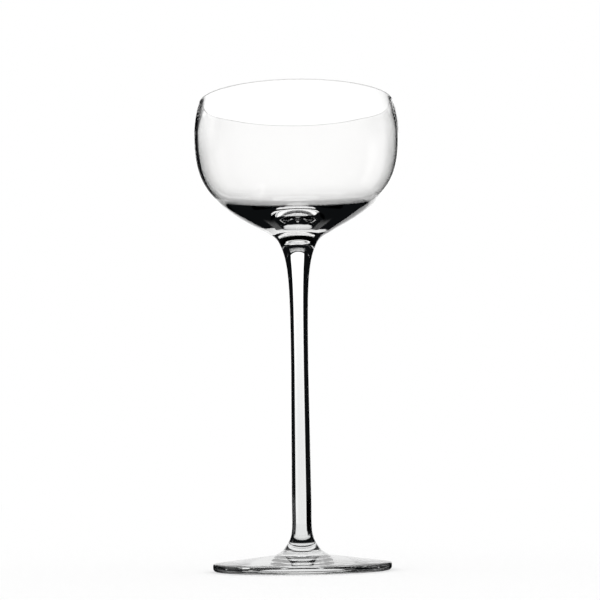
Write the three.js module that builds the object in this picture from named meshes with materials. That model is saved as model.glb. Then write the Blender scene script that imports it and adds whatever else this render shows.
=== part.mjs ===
// Coupe glass: a thin wide bowl, a slender drawn stem and a disc foot, three gathers of clear
// glass welded end to end while hot. Millimetres, +Z up. The origin is on the table, on the axis,
// under the centre of the ring that the foot stands on.
import * as THREE from "three";

// Foot
const footRadius = 37.4;
const footEdge = 3.2; // height of the outer edge
const footSlope = 7.2; // degrees by which the top rises from the edge to the boss
const edgeRound = 1.5; // round under the edge, where the glass sagged on the plate
const edgeBreak = 0.5; // smaller round on top of the edge
const ringWidth = 5; // flat ground ring that touches the table
const hollowRise = 1.7; // how far the underside arches up inside that ring
const bossSpread = 3.8; // how far out from the weld the boss starts to rise off the top
const bossSettle = 0.6; // length over which it leaves the top
const bossLean = 56; // degrees from upright at which it reaches the weld
const bossSweep = 2.4; // how far that lean carries down the boss
const footHeight = 8.5; // table to the weld under the stem

// Stem
const stemLength = 129.5; // weld to weld
const ankleRadius = 7.9; // weld on the foot
const ankleLean = 37.5; // degrees from upright at that weld, steeper than the boss, so a crease shows
const ankleSweep = 7.3; // how far the lean carries before the flare straightens
const shankRadius = 4.15; // where the lower flare ends
const shankHeight = 21.5; // that place above the lower weld
const shankSettle = 14.5; // length over which the lower flare settles into the shank
const waistRadius = 3.7; // thinnest place
const waistHeight = 75.5; // that place above the lower weld
const waistSettle = 36.1; // length over which the shank opens towards the bowl
const neckSweep = 8.8; // how far the lean of the upper weld carries down the stem

// Bowl
const bowlHeight = 62; // upper weld to lip
const neckRadius = 7.77; // weld on the stem
const neckLean = 25; // degrees from upright at that weld
const throatRadius = 12.2; // where the fillet above the weld runs out into the cone
const throatHeight = 4.82; // that place above the weld
const neckRise = 0.49; // how far the lean of the weld carries up into the fillet
const throatRun = 3.76; // how far the cone carries back down into it
const coneAngle = 28.1; // degrees by which the underside rises outwards from the throat
const coneRun = 27.8; // how far the cone carries before it turns up
const bellyRadius = 44.3; // widest place
const bellyHeight = 47.1; // that place above the weld
const shoulderRise = 22.4; // how far below the belly the side already stands upright
const rimInset = 2; // how far the side draws in from the belly to the lip
const wall = 1.1; // thickness of the side
const lipSwell = 0.3; // how much thicker fire-polishing has left the lip
const heelInset = 8.6; // how far in from the belly the wall starts to thicken into the base
const heelRun = 9.4; // how far the inside carries straight on from there
const floorThickness = 9.77; // solid glass on the axis, weld to the inside of the bowl
const floorRun = 12.3; // how far the inside is level about the axis

// Facets
const facetsAround = 48;
const facetsLong = 14; // along each long curve of a profile
const facetsShort = 5; // along each fillet, arc or rounded edge

const degree = Math.PI / 180;

// A point of a profile: distance from the axis and height.
function at(radius, height) {
  return new THREE.Vector2(radius, height);
}

// The point that lies a run away from another, at an angle above the level.
function along(point, angle, run) {
  return at(point.x + run * Math.cos(angle), point.y + run * Math.sin(angle));
}

function line(start, end) {
  return new THREE.LineCurve(start, end);
}

// A round stretch about a centre, from one angle to another, either way round.
function arc(centre, radius, start, end) {
  return new THREE.EllipseCurve(centre.x, centre.y, radius, radius, start, end, end < start);
}

// A curve that leaves one point at its angle and reaches another at that one's, each carried by a run.
function sweep(start, startAngle, startRun, end, endAngle, endRun) {
  const startHandle = along(start, startAngle, startRun);
  const endHandle = along(end, endAngle + Math.PI, endRun);
  return new THREE.CubicBezierCurve(start, startHandle, endHandle, end);
}

// The place on a curve, from 0 to 1, where it comes to a distance from the axis.
function placeAt(curve, radius) {
  let low = 0;
  let high = 1;
  for (let halving = 0; halving < 30; halving++) {
    const middle = (low + high) / 2;
    if (curve.getPoint(middle).x < radius) {
      low = middle;
    } else {
      high = middle;
    }
  }
  return low;
}

// The point a distance away from a place on a curve, square to it and to its left.
function beside(curve, place, distance) {
  const ahead = curve.getTangent(place);
  return curve.getPoint(place).add(at(-ahead.y, ahead.x).multiplyScalar(distance));
}

// A curve that keeps a distance to the left of another, from one place on it to another.
function alongside(curve, start, end, distance) {
  const points = [];
  for (let facet = 0; facet <= facetsLong; facet++) {
    const place = start + ((end - start) * facet) / facetsLong;
    points.push(beside(curve, place, distance));
  }
  return new THREE.SplineCurve(points);
}

// Turns a profile, given as curves with their facet counts, about the upright axis.
function turned(name, profile) {
  const points = profile.flatMap(([curve, facets], index) => curve.getPoints(facets).slice(index ? 1 : 0));
  const geometry = new THREE.LatheGeometry(points, facetsAround);
  geometry.rotateX(Math.PI / 2);
  const material = new THREE.MeshStandardMaterial({
    color: 0xf3f7f5,
    roughness: 0.02,
    metalness: 0,
    transparent: true,
    opacity: 0.35,
  });
  const mesh = new THREE.Mesh(geometry, material);
  mesh.name = name;
  return mesh;
}

// Foot: a hollow-ground disc whose conical top sweeps up into a boss for the stem.
function foot() {
  const slope = footSlope * degree;
  const ringOuter = footRadius - edgeRound;
  const ringInner = ringOuter - ringWidth;
  const hollowRadius = (ringInner ** 2 + hollowRise ** 2) / (2 * hollowRise);
  const hollowCentre = at(0, hollowRise - hollowRadius);
  const hollowEdge = Math.acos(ringInner / hollowRadius);
  const roundCentre = at(ringOuter, edgeRound);
  const breakCentre = at(footRadius - edgeBreak, footEdge - edgeBreak);
  const shoulder = along(breakCentre, Math.PI / 2 - slope, edgeBreak);
  const bossRadius = ankleRadius + bossSpread;
  const boss = at(bossRadius, shoulder.y + (shoulder.x - bossRadius) * Math.tan(slope));
  const weld = at(ankleRadius, footHeight);
  return turned("foot", [
    [arc(hollowCentre, hollowRadius, Math.PI / 2, hollowEdge), facetsShort],
    [line(at(ringInner, 0), at(ringOuter, 0)), 1],
    [arc(roundCentre, edgeRound, -Math.PI / 2, 0), facetsShort],
    [line(at(footRadius, edgeRound), at(footRadius, footEdge - edgeBreak)), 1],
    [arc(breakCentre, edgeBreak, 0, Math.PI / 2 - slope), facetsShort],
    [line(shoulder, boss), 1],
    [sweep(boss, Math.PI - slope, bossSettle, weld, (90 + bossLean) * degree, bossSweep), facetsShort],
    [line(weld, at(0, footHeight)), 1],
  ]);
}

// Stem: drawn thin at the waist and flared to the weld at each end.
function stem() {
  const ankle = at(ankleRadius, 0);
  const shank = at(shankRadius, shankHeight);
  const waist = at(waistRadius, waistHeight);
  const neck = at(neckRadius, stemLength);
  const ankleAngle = (90 + ankleLean) * degree;
  const neckAngle = (90 - neckLean) * degree;
  const stemMesh = turned("stem", [
    [line(at(0, 0), ankle), 1],
    [sweep(ankle, ankleAngle, ankleSweep, shank, Math.PI / 2, shankSettle), facetsLong],
    [line(shank, waist), 1],
    [sweep(waist, Math.PI / 2, waistSettle, neck, neckAngle, neckSweep), facetsLong],
    [line(neck, at(0, stemLength)), 1],
  ]);
  stemMesh.position.z = footHeight;
  return stemMesh;
}

// Bowl: a solid cone over the stem that opens into a thin side, widest at the belly and drawn in
// to a rounded lip. The wall thins from the lip to the belly and is even from there down to the
// heel, where the inside leaves the outside and flattens into the floor.
function bowl() {
  const neck = at(neckRadius, 0);
  const throat = at(throatRadius, throatHeight);
  const belly = at(bellyRadius, bellyHeight);
  const neckAngle = (90 - neckLean) * degree;
  const cone = coneAngle * degree;
  const outside = sweep(throat, cone, coneRun, belly, Math.PI / 2, shoulderRise);
  const heelPlace = placeAt(outside, bellyRadius - heelInset);
  const heel = beside(outside, heelPlace, wall);
  const heelAngle = outside.getTangent(heelPlace).angle() + Math.PI;
  const floor = at(0, floorThickness);
  const lipRound = (wall + lipSwell) / 2;
  const lipRise = bowlHeight - lipRound - bellyHeight;
  const sideRadius = lipRound + (rimInset ** 2 + lipRise ** 2) / (2 * rimInset);
  const sideCentre = at(bellyRadius - sideRadius, bellyHeight);
  const sideLean = Math.asin(lipRise / (sideRadius - lipRound));
  const lipCentre = along(sideCentre, sideLean, sideRadius - lipRound);
  const lipInside = along(lipCentre, sideLean, -lipRound);
  const bellyInside = at(bellyRadius - wall, bellyHeight);
  const settle = lipRise / 3;
  const bowlMesh = turned("bowl", [
    [line(at(0, 0), neck), 1],
    [sweep(neck, neckAngle, neckRise, throat, cone, throatRun), facetsShort],
    [outside, facetsLong],
    [arc(sideCentre, sideRadius, 0, sideLean), facetsShort],
    [arc(lipCentre, lipRound, sideLean, sideLean + Math.PI), facetsShort],
    [sweep(lipInside, sideLean - Math.PI / 2, settle, bellyInside, -Math.PI / 2, settle), facetsShort],
    [alongside(outside, 1, heelPlace, wall), facetsLong],
    [sweep(heel, heelAngle, heelRun, floor, Math.PI, floorRun), facetsLong],
  ]);
  bowlMesh.position.z = footHeight + stemLength;
  return bowlMesh;
}

const coupe = new THREE.Group();
coupe.name = "coupe_glass";
coupe.add(foot(), stem(), bowl());

export default coupe;
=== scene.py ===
import math

import bpy
import numpy as np
from mathutils import Matrix, Vector


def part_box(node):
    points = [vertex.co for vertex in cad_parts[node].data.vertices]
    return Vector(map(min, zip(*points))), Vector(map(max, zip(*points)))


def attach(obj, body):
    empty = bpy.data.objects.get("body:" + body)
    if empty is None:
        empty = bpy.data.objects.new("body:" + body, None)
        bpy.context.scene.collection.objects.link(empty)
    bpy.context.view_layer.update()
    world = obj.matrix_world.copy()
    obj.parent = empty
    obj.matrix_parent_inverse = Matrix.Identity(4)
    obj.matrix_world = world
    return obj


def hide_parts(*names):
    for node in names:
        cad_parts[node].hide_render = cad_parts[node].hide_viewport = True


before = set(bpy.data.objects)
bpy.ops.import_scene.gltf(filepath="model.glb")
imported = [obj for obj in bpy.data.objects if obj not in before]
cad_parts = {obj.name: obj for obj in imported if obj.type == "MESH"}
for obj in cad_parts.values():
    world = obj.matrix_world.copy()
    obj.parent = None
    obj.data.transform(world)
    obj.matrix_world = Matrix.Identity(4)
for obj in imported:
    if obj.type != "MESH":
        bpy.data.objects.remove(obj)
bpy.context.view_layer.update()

# Clear stemmed coupe: bowl, stem and foot are three turned glass bodies, welded at two flat discs.
# Metres, +Z up, the table at z = 0, the glass on the Z axis.
mm = 0.001
upright = math.pi / 2  # angle of a profile that runs straight up
aroundSteps = 192      # same on all three bodies, so that the weld rings share their points
creaseAngle = 38       # degrees between two faces, past which their edge stays sharp
glassBounces = 32      # enough for light to get out of the solid base
mirrorBounces = 16

scene = bpy.context.scene
scene.view_settings.view_transform = "Standard"
scene.cycles.max_bounces = glassBounces
scene.cycles.transmission_bounces = glassBounces
scene.cycles.transparent_max_bounces = glassBounces
scene.cycles.glossy_bounces = mirrorBounces


# Curves of a profile: arrays of (radius, height) rows.

# even: steps + 1 places from 0 to 1
def even(steps):
    return np.linspace(0, 1, steps + 1)


# straight: start + t (end - start)
def straight(start, end, steps=1):
    t = even(steps)[:, None]
    return np.asarray(start) * (1 - t) + np.asarray(end) * t


# roundArc: centre + radius (cos a, sin a), with a even between two angles
def roundArc(centre, radius, angleA, angleB, steps):
    a = np.linspace(angleA, angleB, steps + 1)
    return np.stack([centre[0] + radius * np.cos(a), centre[1] + radius * np.sin(a)], axis=1)


# leaning: the point a run away from another, point + run (cos angle, sin angle)
def leaning(point, angle, run):
    return (point[0] + run * math.cos(angle), point[1] + run * math.sin(angle))


# handles: four points of a cubic that leaves its start at an angle and reaches its end at another,
# start, start + run, end - run, end, with each run along its own angle
def handles(start, startAngle, startRun, end, endAngle, endRun):
    return np.array([start, leaning(start, startAngle, startRun), leaning(end, endAngle, -endRun), end])


# sweep: the four points weighted (1-t)^3, 3t(1-t)^2, 3t^2(1-t) and t^3
def sweep(points, places):
    t = places[:, None]
    first = (1 - t) ** 3 * points[0] + 3 * t * (1 - t) ** 2 * points[1]
    return first + 3 * t ** 2 * (1 - t) * points[2] + t ** 3 * points[3]


# heading: direction of the cubic, (1-t)^2 (b-a) + 2t(1-t) (c-b) + t^2 (d-c), made one long
def heading(points, places):
    t = places[:, None]
    legs = np.diff(points, axis=0)
    ahead = (1 - t) ** 2 * legs[0] + 2 * t * (1 - t) * legs[1] + t ** 2 * legs[2]
    return ahead / np.linalg.norm(ahead, axis=1, keepdims=True)


# joined: curves end to end, with each shared end point kept once
def joined(*curves):
    return np.concatenate([curves[0]] + [curve[1:] for curve in curves[1:]])


# turned: the profile (r, z) carried round Z, x = r cos a and y = r sin a on a grid of rings by angles.
# The profile starts and ends on the axis, and each of those ends is one vertex with a fan of triangles.
def turned(name, profile, weldStart, weldEnd):
    angle = np.arange(aroundSteps) * (2 * np.pi / aroundSteps)
    ring = profile[1:-1]
    grid = np.empty((len(ring), aroundSteps, 3))
    grid[..., 0] = ring[:, :1] * np.cos(angle)
    grid[..., 1] = ring[:, :1] * np.sin(angle)
    grid[..., 2] = ring[:, 1:]
    poles = np.array([[0, 0, profile[0, 1]], [0, 0, profile[-1, 1]]])
    points = np.concatenate([grid.reshape(-1, 3), poles])

    number = np.arange(len(ring) * aroundSteps).reshape(len(ring), aroundSteps)
    ahead = np.roll(number, -1, axis=1)
    quads = np.stack([number[:-1], ahead[:-1], ahead[1:], number[1:]], axis=-1).reshape(-1, 4)
    firstPole = np.full(aroundSteps, len(points) - 2)
    lastPole = np.full(aroundSteps, len(points) - 1)
    startFan = np.stack([firstPole, ahead[0], number[0]], axis=-1)
    endFan = np.stack([number[-1], ahead[-1], lastPole], axis=-1)

    mesh = bpy.data.meshes.new(name)
    mesh.from_pydata(points.tolist(), [], quads.tolist() + startFan.tolist() + endFan.tolist())
    slots = np.zeros(len(mesh.polygons), dtype=np.int32)
    slots[len(quads):len(quads) + aroundSteps] = int(weldStart)
    slots[len(quads) + aroundSteps:] = int(weldEnd)
    mesh.polygons.foreach_set("material_index", slots)
    mesh.shade_smooth()
    mesh.set_sharp_from_angle(angle=math.radians(creaseAngle))
    mesh.validate()
    piece = bpy.data.objects.new(name, mesh)
    scene.collection.objects.link(piece)
    return piece


# Node helpers

# placed: a new node with its sockets set from numbers, colours or other sockets
def placed(tree, kind, inputs=(), **settings):
    node = tree.nodes.new(kind)
    for key, value in settings.items():
        setattr(node, key, value)
    for key, value in dict(inputs).items():
        if isinstance(value, bpy.types.NodeSocket):
            tree.links.new(value, node.inputs[key])
        else:
            node.inputs[key].default_value = value
    return node


# sums: one step of arithmetic on numbers or sockets
def sums(tree, operation, *values):
    return placed(tree, "ShaderNodeMath", dict(enumerate(values)), operation=operation).outputs[0]


# times: first x second
def times(tree, first, second):
    return sums(tree, "MULTIPLY", first, second)


# vectors: one step of arithmetic on vectors, which comes out as a Vector or a Value
def vectors(tree, operation, *values):
    return placed(tree, "ShaderNodeVectorMath", dict(enumerate(values)), operation=operation).outputs


# eased: 0 at low, 1 at high, with an S-curve between
def eased(tree, value, low, high):
    inputs = {"Value": value, "From Min": low, "From Max": high}
    return placed(tree, "ShaderNodeMapRange", inputs, interpolation_type="SMOOTHSTEP").outputs["Result"]


# within: 1 between low and high, easing to 0 over an edge at both ends
def within(tree, value, low, high, edge):
    rising = eased(tree, value, low - edge, low + edge)
    falling = eased(tree, value, high + edge, high - edge)
    return times(tree, rising, falling)


# atMost: 1 where a whole count is no more than a limit
def atMost(tree, count, limit):
    return sums(tree, "LESS_THAN", count, limit + 0.5)


# glowing: light of a colour and strength from a sheet, or from the world with its own kind of node
def glowing(tree, colour, strength, kind="ShaderNodeEmission"):
    return placed(tree, kind, {"Color": (*colour, 1), "Strength": strength})


# added: first + second
def added(tree, first, second):
    return placed(tree, "ShaderNodeAddShader", {0: first.outputs[0], 1: second.outputs[0]})


# mixed: first (1 - share) + second x share
def mixed(tree, share, first, second):
    return placed(tree, "ShaderNodeMixShader", {0: share, 1: first.outputs[0], 2: second.outputs[0]})


# newGroup: an empty group with named sockets, and the ends that its nodes are wired to
def newGroup(name, ins, outs):
    group = bpy.data.node_groups.new(name, "ShaderNodeTree")
    for socketName, kind in ins:
        group.interface.new_socket(socketName, in_out="INPUT", socket_type=kind)
    for socketName, kind in outs:
        group.interface.new_socket(socketName, in_out="OUTPUT", socket_type=kind)
    return group, group.nodes.new("NodeGroupInput").outputs, group.nodes.new("NodeGroupOutput").inputs


# Studio: white cards, and painted pools and strips of light on a pale table round the glass, with dark
# cloth between them.
# Each shows in one kind of ray, so that the glass keeps dark edges and is still clear from several sides.
# Bearing 0 is straight behind the glass, along +Y, and grows towards +X. Degrees and metres.
studio = {
    "cardGlow": 1.14,             # a touch over white, for what the glass mirrors away
    "footGlow": 0.86,             # the same near the table, growing to the above over the rise
    "cardRise": (10 * mm, 250 * mm),
    "cardLift": 0.1,              # more glow towards the ends, over this run from the middle
    "liftRun": (60 * mm, 150 * mm),
    "cards": (                    # across and up are a card's two ends each way, edge is how soft they are
        {"name": "backCard", "bearing": 0, "distance": 400 * mm, "edge": 5 * mm,
         "across": (-138 * mm, 195 * mm), "up": (-10 * mm, 400 * mm), "rays": "bent", "glow": 1.02},
        {"name": "mirrorCard", "bearing": 0, "distance": 401 * mm, "edge": 5 * mm,
         "across": (-138 * mm, 195 * mm), "up": (-10 * mm, 400 * mm), "rays": "oneMirrored", "glow": 1},
        {"name": "topCard", "bearing": 0, "distance": 402 * mm, "edge": 5 * mm,
         "across": (-138 * mm, 195 * mm), "up": (395 * mm, 800 * mm), "rays": "fewMirrored", "glow": 1},
        {"name": "sideCard", "bearing": -90, "distance": 400 * mm, "edge": 5 * mm,
         "across": (-95 * mm, 95 * mm), "up": (-10 * mm, 330 * mm), "rays": "bent", "glow": 1},
        {"name": "footCard", "bearing": 0, "distance": 80 * mm, "edge": 5 * mm,
         "across": (-62 * mm, 62 * mm), "up": (10 * mm, 57 * mm), "rays": "mirrored", "glow": 1},
        {"name": "footSideCard", "bearing": -90, "distance": 80 * mm, "edge": 5 * mm,
         "across": (-40 * mm, 40 * mm), "up": (10 * mm, 30 * mm), "rays": "mirrored", "glow": 1},
        {"name": "darkFlag", "bearing": -45, "distance": 90 * mm, "edge": 2 * mm,   # hides a runner
         "across": (-45 * mm, 45 * mm), "up": (-10 * mm, 30 * mm), "rays": "oneBody", "glow": 0},
        {"name": "leftCard", "bearing": -62, "distance": 400 * mm, "edge": 60 * mm,
         "across": (-140 * mm, 140 * mm), "up": (235 * mm, 480 * mm), "rays": "once", "glow": 0.8},
        {"name": "rightCard", "bearing": 62, "distance": 400 * mm, "edge": 60 * mm,
         "across": (-140 * mm, 140 * mm), "up": (235 * mm, 480 * mm), "rays": "once", "glow": 0.35},
    ),
    "pools": (                    # painted pools of light on the table, behind the glass and under its foot, seen only in the glass
        {"centre": (0, 150 * mm), "size": (72 * mm, 75 * mm), "rays": "mirrored", "glow": 0.7},
        {"centre": (0, 24 * mm), "size": (11 * mm, 16 * mm), "rays": "all", "glow": 0.7},
    ),
    "poolEdge": 0.1,              # share of a pool's size
    "paintedFootPool": {"radius": 42 * mm, "edge": 4 * mm, "rays": "oneBody", "glow": 0.8},  # painted pool of light, a disc under the foot, seen only in the glass
    "runners": (                  # painted strips of light on the table, out from under the glass, seen only in the glass
        {"bearing": 1.5, "halfWidth": 15.5, "reach": (250 * mm, 9000 * mm), "rays": "all", "glow": 0.8},
        {"bearing": 2.7, "halfWidth": 23, "reach": (14 * mm, 440 * mm), "rays": "fewBent", "glow": 0.84},
        {"bearing": -45, "halfWidth": 13, "reach": (100 * mm, 920 * mm), "rays": "bent", "glow": 1},
        {"bearing": -90, "halfWidth": 14, "reach": (14 * mm, 420 * mm), "rays": "bent", "glow": 1},
        {"bearing": 135, "halfWidth": 14, "reach": (0, 3500 * mm), "rays": "bent", "glow": 1},
    ),
    "runnerEdge": 3,              # soft sides, degrees
    "startEdge": 12 * mm,         # soft ends
    "white": (1, 1, 1),
    "cloth": (0.004, 0.0045, 0.005),
    "plainLight": 1.0,            # even soft light on the table
    "tableTone": 0.8,
    "tableSize": 9.0,
    "tableDrop": 0.2 * mm,        # just under the foot ring
}
rayKinds = {                      # kind: the one it is part of, what is counted, and the limit
    "fewBent": ("bent", "Transmission Depth", 4),          # through two walls or bodies
    "oneBody": ("bent", "Transmission Depth", 3),          # through one
    "oneMirrored": ("mirrored", "Transmission Depth", 3),  # inside one
    "once": ("mirrored", "Glossy Depth", 1),
    "fewMirrored": ("mirrored", "Glossy Depth", 2),
}


# glassRays: all is what the glass bent or mirrored on its way from the camera, bent is the part of it
# that was never mirrored, mirrored = all - bent, and the other kinds are parts of these with a low count.
def glassRays(tree):
    path = placed(tree, "ShaderNodeLightPath").outputs
    turnedAside = sums(tree, "MAXIMUM", path["Is Glossy Ray"], path["Is Transmission Ray"])
    rays = {"camera": path["Is Camera Ray"]}
    rays["all"] = times(tree, turnedAside, atMost(tree, path["Diffuse Depth"], 0))
    rays["bent"] = times(tree, rays["all"], atMost(tree, path["Glossy Depth"], 0))
    rays["mirrored"] = sums(tree, "SUBTRACT", rays["all"], rays["bent"])
    for kind, (whole, counted, limit) in rayKinds.items():
        rays[kind] = times(tree, rays[whole], atMost(tree, path[counted], limit))
    return rays


# world: cloth for what the glass shows, white for the camera, plain light for the rest
def makeWorld():
    world = bpy.data.worlds.new("studioWorld")
    scene.world = world
    world.use_nodes = True
    tree = world.node_tree
    tree.nodes.clear()
    rays = glassRays(tree)
    plain = glowing(tree, studio["white"], studio["plainLight"], "ShaderNodeBackground")
    cloth = glowing(tree, studio["cloth"], 1, "ShaderNodeBackground")
    backdrop = glowing(tree, studio["white"], 1, "ShaderNodeBackground")
    around = mixed(tree, rays["all"], plain, cloth)
    seen = mixed(tree, rays["camera"], around, backdrop)
    placed(tree, "ShaderNodeOutputWorld", {"Surface": seen.outputs[0]})


# sheetMaterial: an empty node tree whose glow lights nothing by itself
def sheetMaterial(name):
    material = bpy.data.materials.new(name)
    material.use_nodes = True
    material.cycles.emission_sampling = "NONE"
    material.node_tree.nodes.clear()
    return material


# staged: a flat four-sided sheet that belongs to the studio
def staged(name, corners, material):
    mesh = bpy.data.meshes.new(name)
    mesh.from_pydata(corners, [], [(0, 1, 2, 3)])
    mesh.materials.append(material)
    sheet = bpy.data.objects.new(name, mesh)
    scene.collection.objects.link(sheet)
    return sheet


# card: upright, square to its bearing b. A point is across = x cos b - y sin b and height = z.
# The glow eases from the foot's to the full one over the rise, times 1 + lift towards both ends.
def makeCard(card):
    material = sheetMaterial(card["name"])
    tree = material.node_tree
    turn = math.radians(card["bearing"])
    side = Vector((math.cos(turn), -math.sin(turn), 0))
    ahead = Vector((math.sin(turn), math.cos(turn), 0))
    up = Vector((0, 0, 1))
    left, right = card["across"]
    low, top = card["up"]
    edge = card["edge"]
    point = placed(tree, "ShaderNodeTexCoord").outputs["Object"]
    across = vectors(tree, "DOT_PRODUCT", point, side)["Value"]
    height = placed(tree, "ShaderNodeSeparateXYZ", {0: point}).outputs["Z"]
    face = times(tree, within(tree, across, left, right, edge), within(tree, height, low, top, edge))
    shown = times(tree, face, glassRays(tree)[card["rays"]])
    rise = eased(tree, height, *studio["cardRise"])
    level = sums(tree, "MULTIPLY_ADD", rise, studio["cardGlow"] - studio["footGlow"], studio["footGlow"])
    ends = eased(tree, sums(tree, "ABSOLUTE", across), *studio["liftRun"])
    lift = sums(tree, "MULTIPLY_ADD", ends, studio["cardLift"] * card["glow"], card["glow"])
    light = glowing(tree, studio["white"], times(tree, level, lift))
    clear = placed(tree, "ShaderNodeBsdfTransparent")
    both = mixed(tree, shown, clear, light)
    placed(tree, "ShaderNodeOutputMaterial", {"Surface": both.outputs[0]})

    cornersAcross = (left - edge, right + edge, right + edge, left - edge)
    cornersUp = (low - edge, low - edge, top + edge, top + edge)
    middle = ahead * card["distance"]
    corners = [middle + side * x + up * z for x, z in zip(cornersAcross, cornersUp)]
    sheet = staged(card["name"], corners, material)
    sheet.visible_camera = False
    sheet.visible_diffuse = False
    sheet.visible_shadow = False


# runner: 1 where the bearing is within the half width of the centre and the distance within the reach
def runnerMask(tree, bearing, distance, runner):
    away = sums(tree, "SUBTRACT", bearing, math.radians(runner["bearing"]))
    away = sums(tree, "WRAP", away, math.pi, -math.pi)
    half = math.radians(runner["halfWidth"])
    across = within(tree, away, -half, half, math.radians(studio["runnerEdge"]))
    return times(tree, across, within(tree, distance, *runner["reach"], studio["startEdge"]))


# pool: 1 inside (x/a)^2 + (y/b)^2 = 1 about its centre, with a soft edge
def poolMask(tree, point, pool):
    fromCentre = vectors(tree, "SUBTRACT", point, (*pool["centre"], 0))["Vector"]
    inSizes = vectors(tree, "DIVIDE", fromCentre, (*pool["size"], 1))["Vector"]
    away = vectors(tree, "LENGTH", inSizes)["Value"]
    return within(tree, away, -1, 1, studio["poolEdge"])


# table: pale to the camera and under its soft light. In the glass it is cloth, plus painted light: the
# brightest of the painted pools, the painted disc under the foot and the painted strips that reach a point.
def makeTable():
    material = sheetMaterial("paleTable")
    tree = material.node_tree
    rays = glassRays(tree)
    point = placed(tree, "ShaderNodeTexCoord").outputs["Object"]
    axis = placed(tree, "ShaderNodeSeparateXYZ", {0: point}).outputs
    bearing = sums(tree, "ARCTAN2", axis["X"], axis["Y"])
    distance = vectors(tree, "LENGTH", point)["Value"]
    # painted light on the table: a glowing disc under the foot, pools and strips, shown only in the glass
    paintedFootPool = studio["paintedFootPool"]
    lit = [(within(tree, distance, -paintedFootPool["radius"], paintedFootPool["radius"], paintedFootPool["edge"]), paintedFootPool)]
    for pool in studio["pools"]:
        lit.append((poolMask(tree, point, pool), pool))
    for runner in studio["runners"]:
        lit.append((runnerMask(tree, bearing, distance, runner), runner))
    glow = 0
    for mask, part in lit:
        shown = times(tree, mask, rays[part["rays"]])
        glow = sums(tree, "MAXIMUM", glow, times(tree, shown, part["glow"]))
    tone = studio["tableTone"]
    matt = placed(tree, "ShaderNodeBsdfDiffuse", {"Color": (tone, tone, tone, 1)})
    pale = added(tree, matt, glowing(tree, studio["white"], 1 - tone * studio["plainLight"]))
    cloth = glowing(tree, studio["cloth"], 1)
    inGlass = added(tree, cloth, glowing(tree, studio["white"], glow))
    both = mixed(tree, rays["all"], pale, inGlass)
    placed(tree, "ShaderNodeOutputMaterial", {"Surface": both.outputs[0]})

    half = studio["tableSize"] / 2
    low = -studio["tableDrop"]
    corners = [(-half, -half, low), (half, -half, low), (half, half, low), (-half, half, low)]
    staged("table", corners, material)


makeWorld()
makeTable()
for card in studio["cards"]:
    makeCard(card)
print("studio ready,", len(studio["cards"]), "cards")

# Camera: eye a little above the foot, tipped up to take in the bowl, and rolled so the glass leans.
eye = {
    "place": (0.5 * mm, -679 * mm, 31.8 * mm),
    "tipUp": 6.91,      # degrees
    "roll": -0.8,       # degrees
    "lens": 96,         # mm, on a 36 mm frame
    "frame": 36,
    "nearest": 0.01,    # what it shows, metres
    "farthest": 50,
}


# camera: turned about X by 90 degrees plus the tip, after a roll about its own line of sight
def makeCamera():
    lens = bpy.data.cameras.new("camera")
    lens.lens = eye["lens"]
    lens.sensor_width = eye["frame"]
    lens.clip_start = eye["nearest"]
    lens.clip_end = eye["farthest"]
    camera = bpy.data.objects.new("camera", lens)
    scene.collection.objects.link(camera)
    tip = Matrix.Rotation(math.radians(90 + eye["tipUp"]), 4, "X")
    roll = Matrix.Rotation(math.radians(eye["roll"]), 4, "Z")
    camera.matrix_world = Matrix.Translation(eye["place"]) @ tip @ roll
    scene.camera = camera


makeCamera()
print("camera ready")

# Clear glass. The skin of drawn glass has long soft swells, fine lines along the draw and wiped haze.
glass = {
    "ior": 1.5,
    "Swell": {"Detail": 1.0, "Roughness": 0.4},  # three noises, named as in the group's sockets
    "Line": {"Detail": 2.0, "Roughness": 0.5},
    "Haze": {"Detail": 4.0, "Roughness": 0.6},
    "hazeEdge": (0.52, 0.75),                    # noise at which the haze starts and is full
}


# glassSkin: height = swell noise mixed with line noise, haze = noise above a threshold
def makeGlassSkin():
    numbers = ("Swell Scale", "Line Scale", "Line Share", "Haze Scale")
    group, ins, outs = newGroup(
        "glassSkin",
        [("Vector", "NodeSocketVector")] + [(name, "NodeSocketFloat") for name in numbers],
        [("Height", "NodeSocketFloat"), ("Haze", "NodeSocketFloat")],
    )
    noise = {}
    for kind in ("Swell", "Line", "Haze"):
        inputs = {"Vector": ins["Vector"], "Scale": ins[kind + " Scale"], **glass[kind]}
        noise[kind] = placed(group, "ShaderNodeTexNoise", inputs).outputs[0]
    shares = {"Factor": ins["Line Share"], "A": noise["Swell"], "B": noise["Line"]}
    height = placed(group, "ShaderNodeMix", shares)
    group.links.new(height.outputs["Result"], outs["Height"])
    group.links.new(eased(group, noise["Haze"], *glass["hazeEdge"]), outs["Haze"])
    return group


glassSkin = makeGlassSkin()


# weldGlass: clear through and through, so that two welded bodies look like one
def makeWeldGlass():
    material = bpy.data.materials.new("weldGlass")
    material.use_nodes = True
    shader = material.node_tree.nodes["Principled BSDF"]
    shader.inputs["Alpha"].default_value = 0
    return material


weldGlass = makeWeldGlass()


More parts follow.
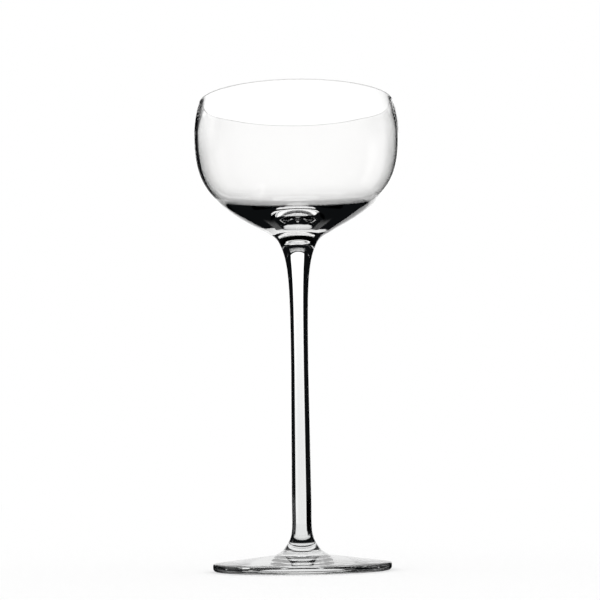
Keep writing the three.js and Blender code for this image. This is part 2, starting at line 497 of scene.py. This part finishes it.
# glass: the skin is read on the stretched point (x, y, z), or on (sqrt(x^2 + y^2), z) where the glass
# was spun in rings. Tint and roughness go from the clear value to the wiped one by the haze.
def makeGlass(name, finish):
    material = bpy.data.materials.new(name)
    material.use_nodes = True
    tree = material.node_tree
    shader = tree.nodes["Principled BSDF"]
    point = placed(tree, "ShaderNodeTexCoord").outputs["Object"]
    if finish["rings"]:
        axis = placed(tree, "ShaderNodeSeparateXYZ", {0: point}).outputs
        level = placed(tree, "ShaderNodeCombineXYZ", {"X": axis["X"], "Y": axis["Y"]}).outputs[0]
        radius = vectors(tree, "LENGTH", level)["Value"]
        point = placed(tree, "ShaderNodeCombineXYZ", {"X": radius, "Y": axis["Z"]}).outputs[0]
    drawn = placed(tree, "ShaderNodeMapping", {"Vector": point, "Scale": finish["stretch"]}).outputs[0]
    skin = placed(tree, "ShaderNodeGroup", node_tree=glassSkin)
    tree.links.new(drawn, skin.inputs["Vector"])
    skin.inputs["Swell Scale"].default_value = finish["swellScale"]
    skin.inputs["Line Scale"].default_value = finish["lineScale"]
    skin.inputs["Line Share"].default_value = finish["lineShare"]
    skin.inputs["Haze Scale"].default_value = finish["hazeScale"]
    height, haze = skin.outputs["Height"], skin.outputs["Haze"]
    bump = placed(tree, "ShaderNodeBump", {"Height": height, "Strength": 1.0, "Distance": finish["depth"]})
    tint = placed(tree, "ShaderNodeMix", {"Factor": haze}, data_type="RGBA")
    tint.inputs["A"].default_value = (*finish["clear"], 1)
    tint.inputs["B"].default_value = (*finish["wiped"], 1)
    rough = placed(tree, "ShaderNodeMapRange", {"Value": haze, "To Max": finish["hazeRough"]})
    tree.links.new(bump.outputs["Normal"], shader.inputs["Normal"])
    tree.links.new(tint.outputs["Result"], shader.inputs["Base Color"])
    tree.links.new(rough.outputs["Result"], shader.inputs["Roughness"])
    shader.inputs["Metallic"].default_value = 0
    shader.inputs["Transmission Weight"].default_value = 1
    shader.inputs["IOR"].default_value = glass["ior"]
    return material


# dress: glass in the first slot, weld in the second, and the piece in the place of its node
def dress(piece, node, material):
    piece.data.materials.append(material)
    piece.data.materials.append(weldGlass)
    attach(piece, "root")
    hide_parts(node)
    print(piece.name, "made,", len(piece.data.polygons), "faces")


# Foot: hollow underside, flat ground ring, rounded edge, conical top and a boss up to the weld.
foot = {
    "edgeHeight": 3.2 * mm,
    "slope": 7.2,             # degrees, edge to boss
    "edgeRound": 1.5 * mm,
    "edgeBreak": 0.5 * mm,
    "ringWidth": 5 * mm,
    "hollowRise": 1.7 * mm,
    "weldRadius": 7.9 * mm,
    "bossSpread": 3.8 * mm,   # weld to where the boss leaves the top
    "bossSettle": 0.6 * mm,
    "bossLean": 56,           # degrees from upright at the weld
    "bossSweep": 2.4 * mm,
    "hollowSteps": 40,
    "ringSteps": 6,
    "edgeSteps": 16,
    "bandSteps": 3,
    "breakSteps": 12,
    "topSteps": 32,
    "bossSteps": 24,
    "finish": {
        "rings": True,
        "stretch": (1, 1, 1),
        "swellScale": 90,
        "lineScale": 700,
        "lineShare": 0.1,
        "hazeScale": 160,
        "hazeRough": 0.02,
        "depth": 0.02 * mm,
        "clear": (0.99, 0.995, 0.992),
        "wiped": (0.975, 0.98, 0.978),
    },
}


# foot: the underside is an arc of radius (r^2 + h^2) / 2h for its rise h inside a ring of radius r
def makeFoot():
    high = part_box("foot")[1]
    radius = high[0]
    slope = math.radians(foot["slope"])
    edgeRound = foot["edgeRound"]
    edgeBreak = foot["edgeBreak"]
    ringOuter = radius - edgeRound
    ringInner = ringOuter - foot["ringWidth"]
    rise = foot["hollowRise"]
    hollowRadius = (ringInner ** 2 + rise ** 2) / (2 * rise)
    hollowEdge = math.acos(ringInner / hollowRadius)
    breakCentre = (radius - edgeBreak, foot["edgeHeight"] - edgeBreak)
    shoulder = leaning(breakCentre, upright - slope, edgeBreak)
    weld = (foot["weldRadius"], high[2])
    bossRadius = weld[0] + foot["bossSpread"]
    boss = (bossRadius, shoulder[1] + (shoulder[0] - bossRadius) * math.tan(slope))
    weldAngle = math.radians(90 + foot["bossLean"])
    bossPoints = handles(boss, math.pi - slope, foot["bossSettle"], weld, weldAngle, foot["bossSweep"])
    profile = joined(
        roundArc((0, rise - hollowRadius), hollowRadius, upright, hollowEdge, foot["hollowSteps"]),
        straight((ringInner, 0), (ringOuter, 0), foot["ringSteps"]),
        roundArc((ringOuter, edgeRound), edgeRound, -upright, 0, foot["edgeSteps"]),
        straight((radius, edgeRound), (radius, breakCentre[1]), foot["bandSteps"]),
        roundArc(breakCentre, edgeBreak, 0, upright - slope, foot["breakSteps"]),
        straight(shoulder, boss, foot["topSteps"]),
        sweep(bossPoints, even(foot["bossSteps"])),
        straight(weld, (0, weld[1])),
    )
    return turned("footGlass", profile, weldStart=False, weldEnd=True)


dress(makeFoot(), "foot", makeGlass("footClear", foot["finish"]))

# Stem: a flare off the foot, a long shank thinning to the waist, and a flare into the bowl.
stem = {
    "ankleLean": 37.5,        # degrees from upright, less than the boss, so a crease shows at the weld
    "ankleSweep": 7.3 * mm,
    "shankRadius": 4.15 * mm,
    "shankHeight": 21.5 * mm,
    "shankSettle": 14.5 * mm,
    "waistRadius": 3.7 * mm,
    "waistHeight": 75.5 * mm,
    "waistSettle": 36.1 * mm,
    "neckSweep": 8.8 * mm,
    "neckRadius": 7.77 * mm,
    "neckLean": 25,           # degrees from upright, shared with the bowl
    "ankleSteps": 60,
    "shankSteps": 40,
    "neckSteps": 80,
    "finish": {
        "rings": False,
        "stretch": (1, 1, 0.04),  # lines run along the draw
        "swellScale": 120,
        "lineScale": 500,
        "lineShare": 0.25,
        "hazeScale": 200,
        "hazeRough": 0.015,
        "depth": 0.015 * mm,
        "clear": (0.985, 0.992, 0.99),
        "wiped": (0.97, 0.978, 0.978),
    },
}


# stem: cubic flares at both ends of a straight shank
def makeStem():
    low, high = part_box("stem")
    base = low[2]
    ankle = (foot["weldRadius"], base)
    shank = (stem["shankRadius"], base + stem["shankHeight"])
    waist = (stem["waistRadius"], base + stem["waistHeight"])
    neck = (stem["neckRadius"], high[2])
    ankleAngle = math.radians(90 + stem["ankleLean"])
    neckAngle = math.radians(90 - stem["neckLean"])
    anklePoints = handles(ankle, ankleAngle, stem["ankleSweep"], shank, upright, stem["shankSettle"])
    neckPoints = handles(waist, upright, stem["waistSettle"], neck, neckAngle, stem["neckSweep"])
    profile = joined(
        straight((0, base), ankle),
        sweep(anklePoints, even(stem["ankleSteps"])),
        straight(shank, waist, stem["shankSteps"]),
        sweep(neckPoints, even(stem["neckSteps"])),
        straight(neck, (0, neck[1])),
    )
    return turned("stemGlass", profile, weldStart=True, weldEnd=True)


dress(makeStem(), "stem", makeGlass("stemClear", stem["finish"]))

# Bowl: a solid cone over the weld that opens into a thin side, drawn in to a fire-polished lip.
bowl = {
    "throatRadius": 12.2 * mm,
    "throatHeight": 4.82 * mm,
    "neckRise": 0.49 * mm,
    "throatRun": 3.76 * mm,
    "coneAngle": 28.1,        # degrees above the level
    "coneRun": 27.8 * mm,
    "bellyHeight": 47.1 * mm,
    "shoulderRise": 22.4 * mm,
    "rimInset": 2 * mm,
    "wall": 1.1 * mm,
    "lipSwell": 0.3 * mm,     # more than the wall, from fire-polishing
    "heelInset": 8.6 * mm,    # belly to where the wall thickens into the base
    "heelRun": 9.4 * mm,
    "floorThickness": 9.77 * mm,
    "floorRun": 12.3 * mm,
    "throatSteps": 28,
    "outsideSteps": 90,
    "sideSteps": 24,
    "lipSteps": 20,
    "insideSteps": 80,
    "floorSteps": 70,
    "finish": {
        "rings": False,
        "stretch": (1, 1, 0.5),
        "swellScale": 45,
        "lineScale": 260,
        "lineShare": 0.03,
        "hazeScale": 70,
        "hazeRough": 0.008,
        "depth": 0.006 * mm,
        "clear": (0.997, 0.996, 0.993),
        "wiped": (0.988, 0.987, 0.983),
    },
}


# bowl: the inside is the outside curve moved in by the wall, down to the heel, then a cubic to the floor.
# From belly to lip the outside is an arc of radius lip + (inset^2 + rise^2) / 2 inset.
def makeBowl():
    low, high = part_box("bowl")
    base = low[2]
    bellyRadius = high[0]
    wall = bowl["wall"]
    neck = (stem["neckRadius"], base)
    throat = (bowl["throatRadius"], base + bowl["throatHeight"])
    belly = (bellyRadius, base + bowl["bellyHeight"])
    bellyInside = (bellyRadius - wall, belly[1])
    floor = (0, base + bowl["floorThickness"])
    neckAngle = math.radians(90 - stem["neckLean"])
    cone = math.radians(bowl["coneAngle"])
    throatPoints = handles(neck, neckAngle, bowl["neckRise"], throat, cone, bowl["throatRun"])

    outsidePlaces = even(bowl["outsideSteps"])
    outsidePoints = handles(throat, cone, bowl["coneRun"], belly, upright, bowl["shoulderRise"])
    outside = sweep(outsidePoints, outsidePlaces)
    heelPlace = np.interp(bellyRadius - bowl["heelInset"], outside[:, 0], outsidePlaces)
    insidePlaces = np.linspace(1, heelPlace, bowl["insideSteps"] + 1)
    ahead = heading(outsidePoints, insidePlaces)
    inside = sweep(outsidePoints, insidePlaces) + wall * np.stack([-ahead[:, 1], ahead[:, 0]], axis=1)
    heelAngle = math.atan2(ahead[-1, 1], ahead[-1, 0]) + math.pi
    floorPoints = handles(inside[-1], heelAngle, bowl["heelRun"], floor, math.pi, bowl["floorRun"])

    lip = (wall + bowl["lipSwell"]) / 2
    lipRise = high[2] - lip - belly[1]
    sideRadius = lip + (bowl["rimInset"] ** 2 + lipRise ** 2) / (2 * bowl["rimInset"])
    sideCentre = (bellyRadius - sideRadius, belly[1])
    sideLean = math.asin(lipRise / (sideRadius - lip))
    lipCentre = leaning(sideCentre, sideLean, sideRadius - lip)
    lipInside = leaning(lipCentre, sideLean, -lip)
    settle = lipRise / 3
    sidePoints = handles(lipInside, sideLean - upright, settle, bellyInside, -upright, settle)
    profile = joined(
        straight((0, base), neck),
        sweep(throatPoints, even(bowl["throatSteps"])),
        outside,
        roundArc(sideCentre, sideRadius, 0, sideLean, bowl["sideSteps"]),
        roundArc(lipCentre, lip, sideLean, sideLean + math.pi, bowl["lipSteps"]),
        sweep(sidePoints, even(bowl["sideSteps"])),
        inside,
        sweep(floorPoints, even(bowl["floorSteps"])),
    )
    return turned("bowlGlass", profile, weldStart=True, weldEnd=False)


dress(makeBowl(), "bowl", makeGlass("bowlClear", bowl["finish"]))
